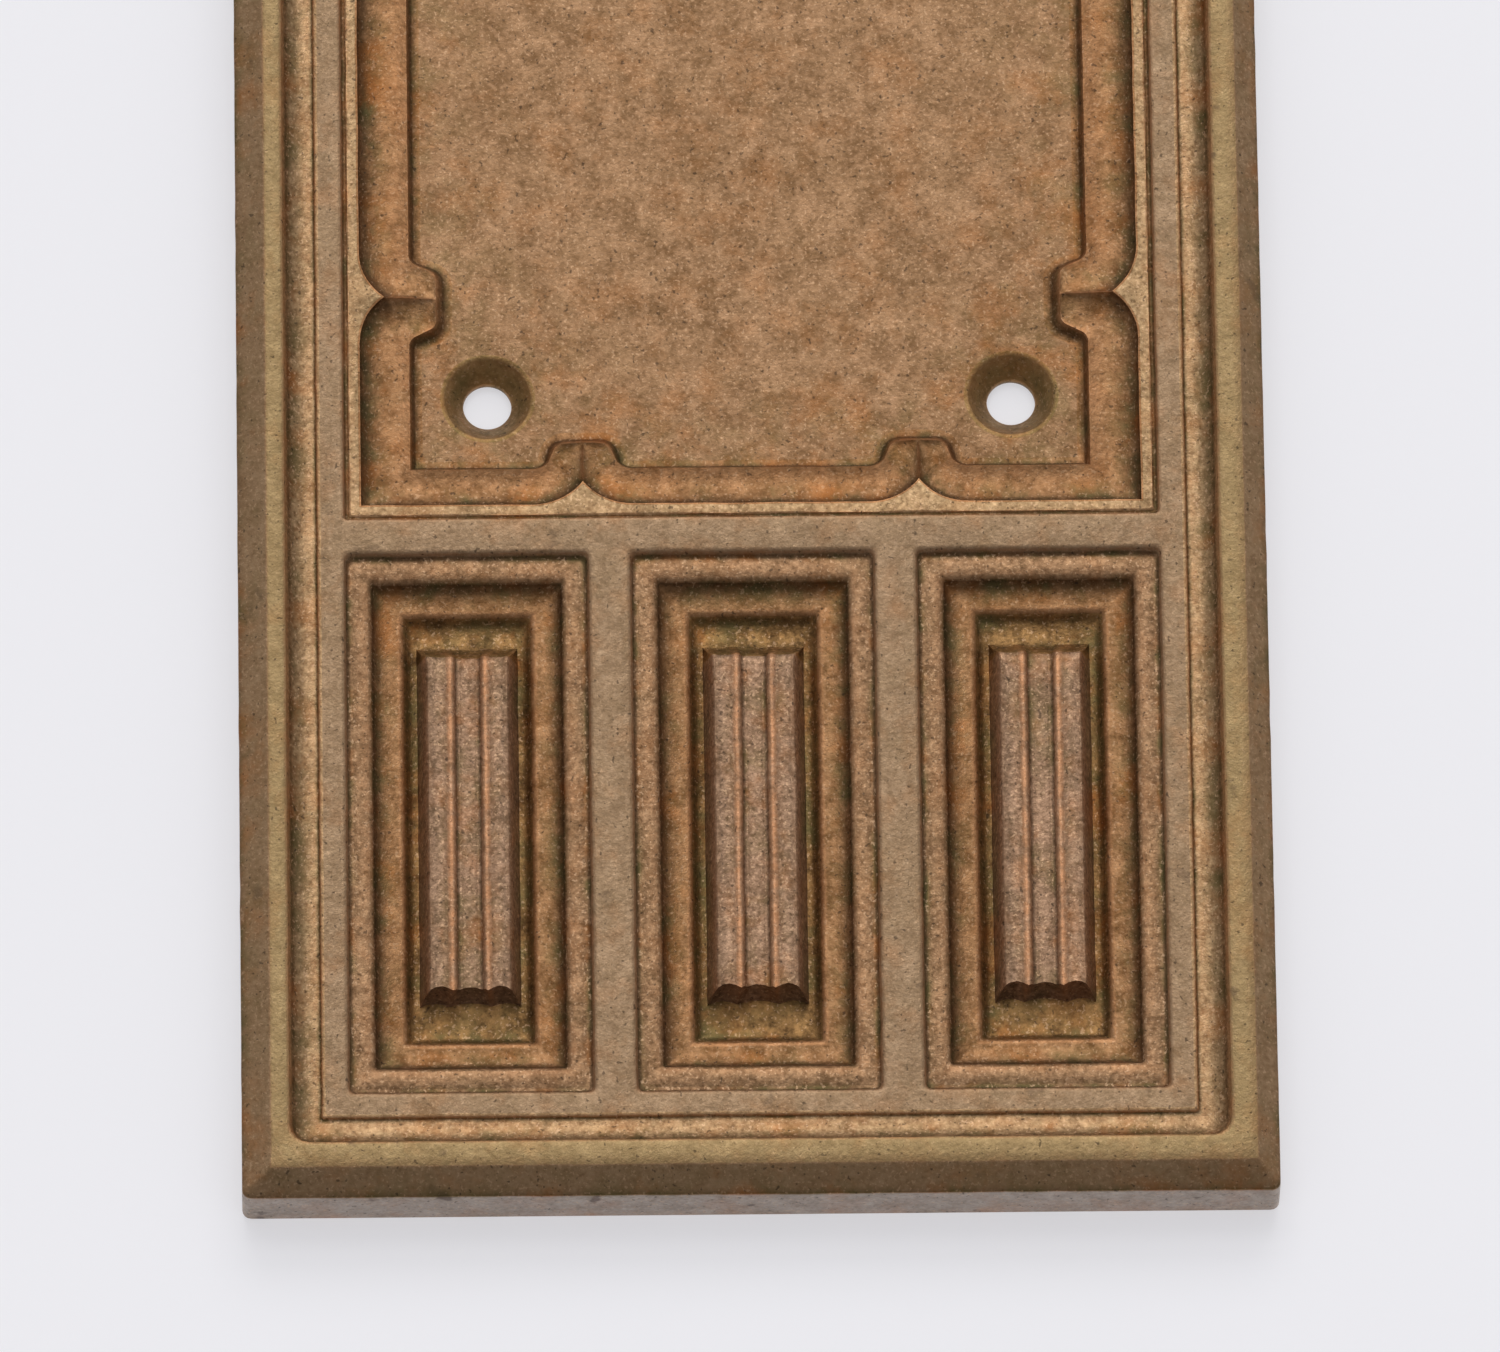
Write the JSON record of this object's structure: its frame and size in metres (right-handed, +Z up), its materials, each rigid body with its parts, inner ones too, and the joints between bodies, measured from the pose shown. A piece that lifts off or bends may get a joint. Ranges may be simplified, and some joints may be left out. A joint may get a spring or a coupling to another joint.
{
  "type": "door push plate",
  "caption": "Cast push plate with a moulded rim, a sunk cusped panel, small panels with reeded bars at each end, and seated wood screws.",
  "frame": {"origin": "centre of the plate's flat back face, which lies on the door", "axes": "+Z up the door along the plate's length, +X across it, +Y into the door; the moulded front faces -Y"},
  "size_m": [0.0826, 0.0292, 0.3048],
  "materials": {
    "cast_bronze": "sand-cast bronze with a brown patina, rubbed to dull brass on the rim, transoms and mullions",
    "screw_brass": "aged turned brass, slightly tarnished"
  },
  "bodies": {
    "root": {"push_plate": "cast_bronze", "upper_left_screw": "screw_brass", "upper_right_screw": "screw_brass"}
  },
  "joints": []
}
